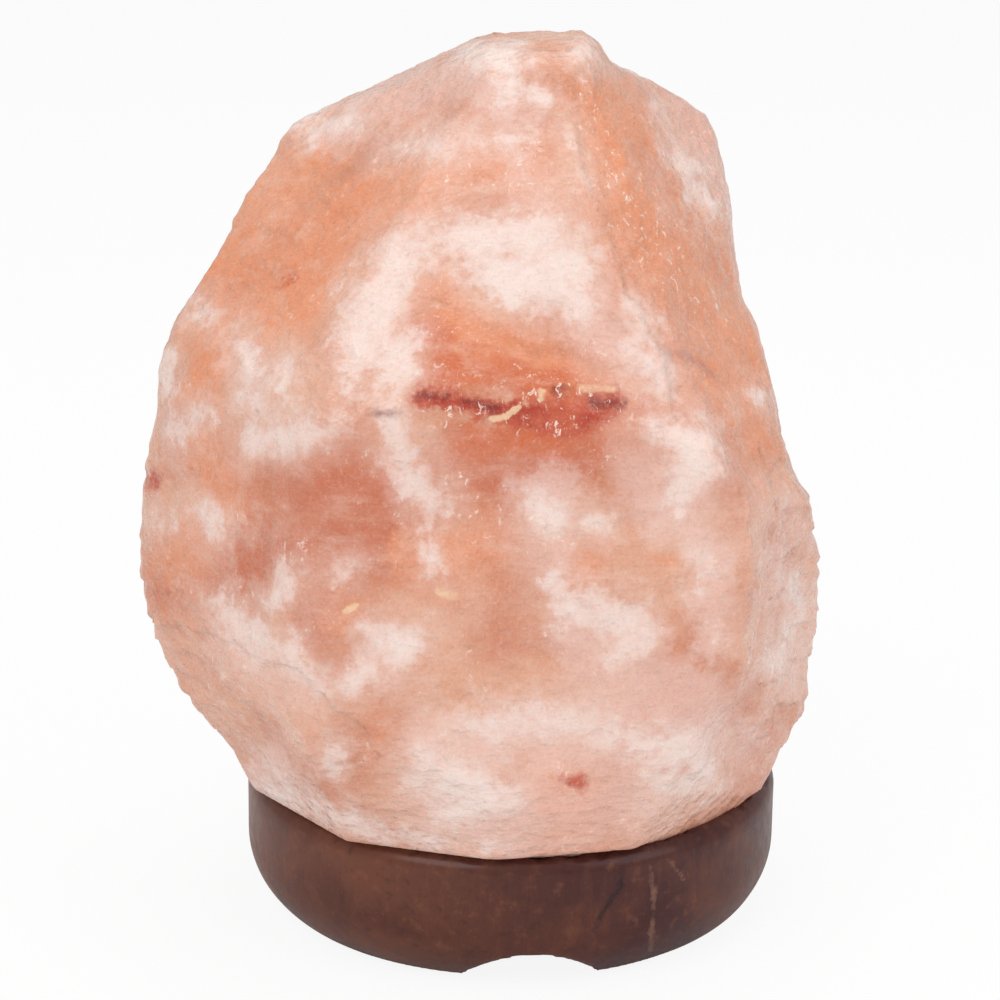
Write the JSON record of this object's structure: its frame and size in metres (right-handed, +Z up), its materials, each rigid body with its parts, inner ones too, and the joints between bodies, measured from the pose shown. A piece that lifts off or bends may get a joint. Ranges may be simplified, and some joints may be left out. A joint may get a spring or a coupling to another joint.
{
  "type": "salt crystal lamp",
  "caption": "Hewn rock salt block on a turned wooden base, with a sprung lamp holder and small screw bulb in a chamber bored up into the salt.",
  "frame": {"origin": "on the axis of the turned base, at the level of the surface that the felt pads stand on", "axes": "+Z up along the axis of the base and the bulb; -Y is the front, where the cord arch under the base opens towards the viewer; +X to the right"},
  "size_m": [0.1561, 0.138, 0.2031],
  "materials": {
    "rock_salt": "matte",
    "stained_wood": "satin",
    "felt": "matte",
    "zinc_steel": "satin",
    "spring_steel": "satin",
    "brass": "satin",
    "nickel_brass": "satin",
    "black_moulding": "satin",
    "white_nylon": "satin",
    "grey_nylon": "matte",
    "steatite": "matte",
    "clear_glass": "gloss",
    "black_glass": "gloss",
    "tungsten": "satin"
  },
  "bodies": {
    "lamp": {"salt_crystal": "rock_salt", "wooden_base": "stained_wood", "felt_pads": "felt", "base_screws": "zinc_steel", "screw_washers": "zinc_steel", "salt_plugs": "grey_nylon"},
    "holder": {"holder_plate": "zinc_steel", "spring_arm_1": "spring_steel", "spring_arm_2": "spring_steel", "spring_arm_3": "spring_steel", "clip_rivets": "zinc_steel", "nipple_tube": "zinc_steel", "nipple_washer": "zinc_steel", "nipple_nut": "zinc_steel", "cord_bush": "white_nylon", "holder_cap": "black_moulding", "holder_body": "black_moulding", "terminal_block": "steatite", "terminal_screws": "brass", "socket_shell": "brass", "centre_contact": "brass"},
    "bulb_tip": {"bulb_pip": "brass"},
    "bulb": {"bulb_insulator": "black_glass", "bulb_cap": "nickel_brass", "bulb_glass": "clear_glass", "bulb_stem": "clear_glass", "bulb_leads": "tungsten", "bulb_filament": "tungsten"}
  },
  "joints": [
    {"name": "holder_pull", "type": "slide", "parent": "lamp", "child": "holder", "axis": [0, 0, -1], "range_m": [0, 0.11]},
    {"name": "bulb_rise", "type": "slide", "parent": "holder", "child": "bulb_tip", "axis": [0, 0, 1], "range_m": [0, 0.00705]},
    {"name": "bulb_turn", "type": "hinge", "parent": "bulb_tip", "child": "bulb", "pos_m": [0, 0, 0.0575], "axis": [0, 0, 1], "range_deg": [0, 900.1]}
  ],
  "couplings": [
    {"joint": "bulb_turn", "follows": "bulb_rise", "rad_per_m": 2226.5}
  ]
}
